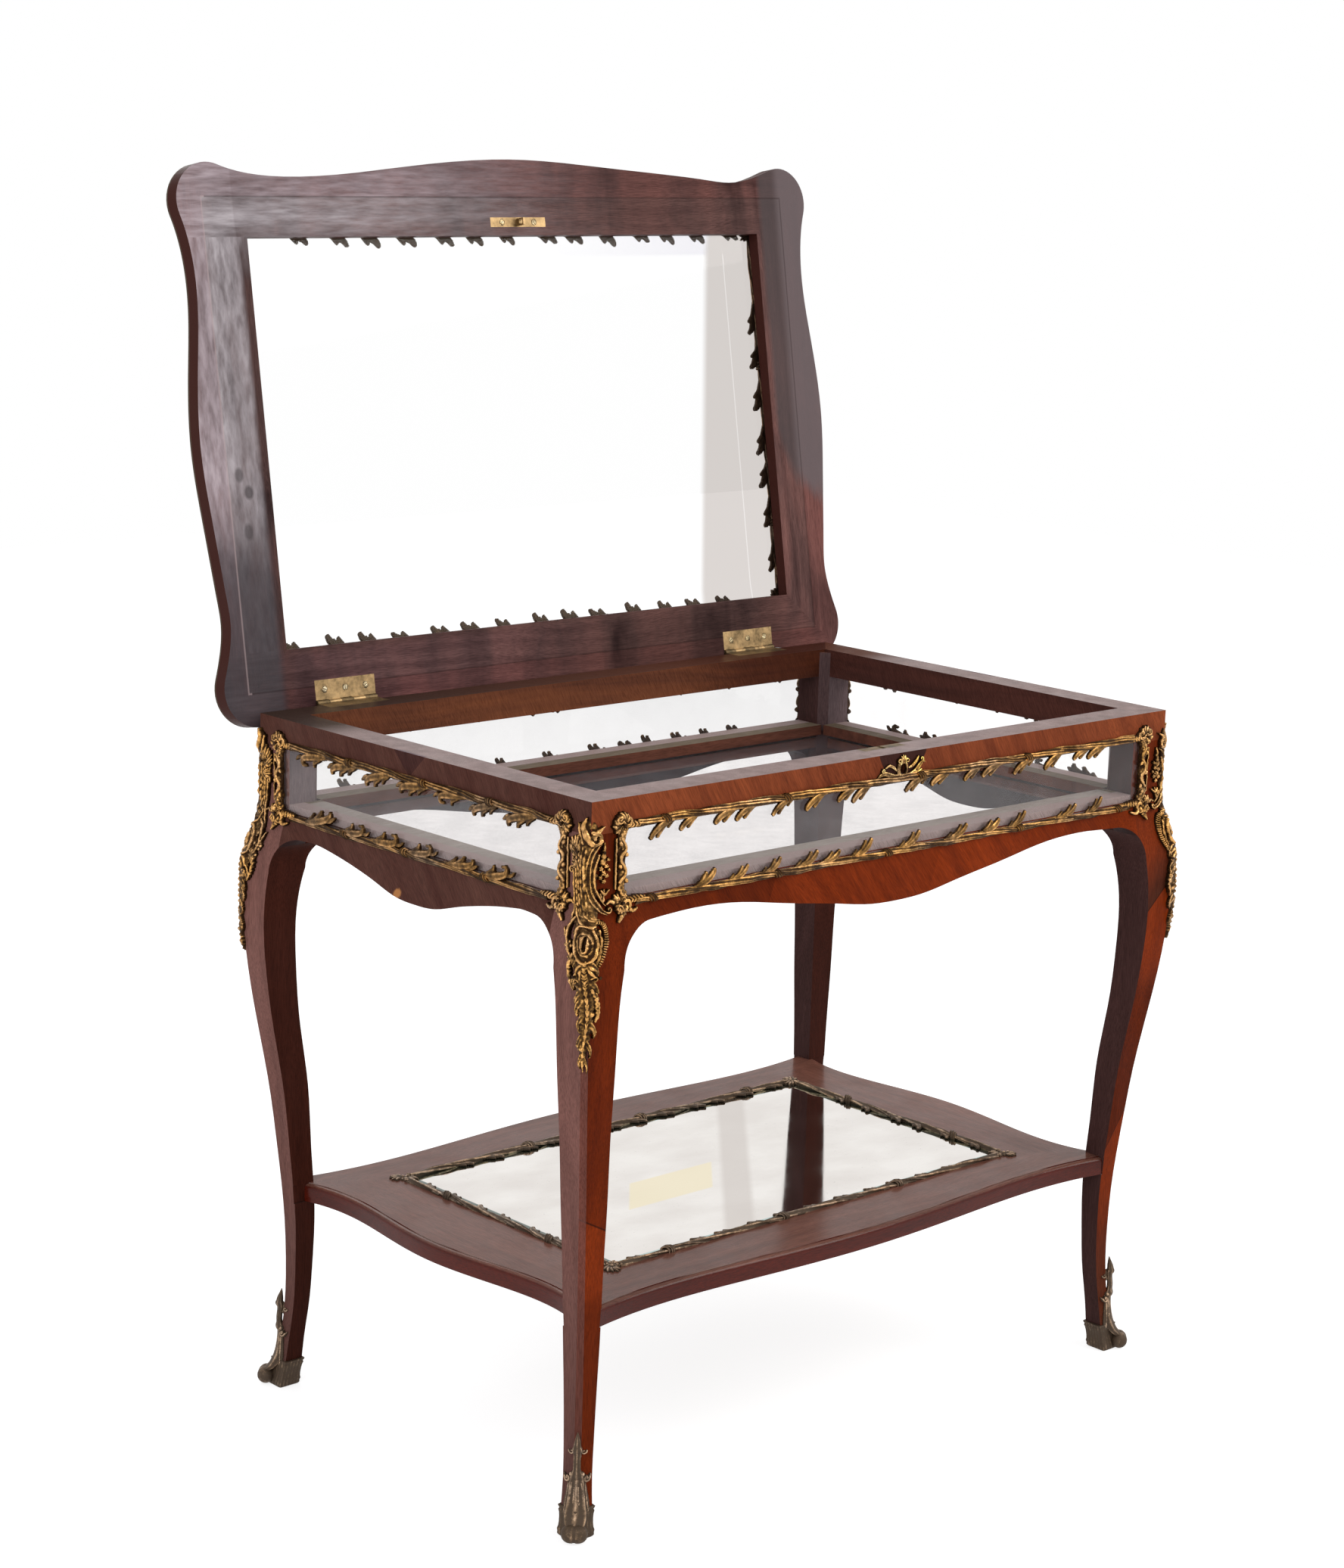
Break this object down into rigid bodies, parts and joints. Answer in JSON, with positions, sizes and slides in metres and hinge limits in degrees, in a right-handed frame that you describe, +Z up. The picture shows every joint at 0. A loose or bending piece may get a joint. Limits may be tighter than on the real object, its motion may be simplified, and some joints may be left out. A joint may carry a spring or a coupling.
{
  "type": "collectors display table",
  "caption": "Glazed display table on cabriole legs with bronze mounts, hinged serpentine glass lid standing open and a low mirrored shelf.",
  "frame": {"origin": "on the floor under the middle of the case", "axes": "+X along the front to the right, -Y out of the front, +Z up"},
  "size_m": [0.901, 0.6768, 1.3067],
  "materials": {
    "case_veneer": "french polished veneer, warm red brown",
    "shelf_veneer": "french polished veneer, dulled mauve brown",
    "lid_veneer": "french polished veneer, dark purple brown",
    "carcass_wood": "bare secondary timber",
    "clear_glass": "clear, slightly dusty",
    "silvered_mirror": "silvered plate",
    "gilt_bronze": "gilded bronze, dark in the recesses",
    "dark_bronze": "tarnished bronze",
    "old_brass": "worn old brass",
    "lock_steel": "dull filed steel"
  },
  "bodies": {
    "case": {"apron_back": "case_veneer", "apron_front": "case_veneer", "apron_left": "case_veneer", "apron_right": "case_veneer", "case_screws": "old_brass", "chute_back_left": "gilt_bronze", "chute_back_right": "gilt_bronze", "chute_front_left": "gilt_bronze", "chute_front_right": "gilt_bronze", "escutcheon": "gilt_bronze", "floor_glass": "clear_glass", "floor_ledgers": "carcass_wood", "hinge_fixed_leaf_left": "old_brass", "hinge_fixed_leaf_right": "old_brass", "hinge_pins": "old_brass", "ledge_strips": "case_veneer", "leg_back_left": "case_veneer", "leg_back_right": "case_veneer", "leg_front_left": "case_veneer", "leg_front_right": "case_veneer", "lock_case": "lock_steel", "lock_selvedge": "old_brass", "mirror_backing": "carcass_wood", "mirror_trim": "dark_bronze", "mount_pins": "gilt_bronze", "pane_frame_back": "gilt_bronze", "pane_frame_front": "gilt_bronze", "pane_frame_left": "gilt_bronze", "pane_frame_right": "gilt_bronze", "sabot_back_left": "gilt_bronze", "sabot_back_right": "gilt_bronze", "sabot_front_left": "gilt_bronze", "sabot_front_right": "gilt_bronze", "shelf_dowels": "carcass_wood", "shelf_frame_back": "shelf_veneer", "shelf_frame_front": "shelf_veneer", "shelf_frame_left": "shelf_veneer", "shelf_frame_right": "shelf_veneer", "shelf_mirror": "silvered_mirror", "side_pane_back": "clear_glass", "side_pane_front": "clear_glass", "side_pane_left": "clear_glass", "side_pane_right": "clear_glass", "upper_rail_back": "case_veneer", "upper_rail_front": "case_veneer", "upper_rail_left": "case_veneer", "upper_rail_right": "case_veneer"},
    "lid": {"hinge_moving_leaf_left": "old_brass", "hinge_moving_leaf_right": "old_brass", "lid_edge_moulding": "gilt_bronze", "lid_frame_back": "lid_veneer", "lid_frame_front": "lid_veneer", "lid_frame_left": "lid_veneer", "lid_frame_right": "lid_veneer", "lid_glass": "clear_glass", "lid_glass_trim": "gilt_bronze", "lid_screws": "old_brass", "strike_plate": "old_brass"},
    "bolt": {"lock_bolt": "lock_steel"}
  },
  "joints": [
    {"name": "lid_hinge", "type": "hinge", "parent": "case", "child": "lid", "pos_m": [0, 0.2733, 0.74], "axis": [1, 0, 0], "range_deg": [0, 99.9]},
    {"name": "lock_bolt_slide", "type": "slide", "parent": "case", "child": "bolt", "axis": [1, 0, 0], "range_m": [0, 0.008]}
  ]
}
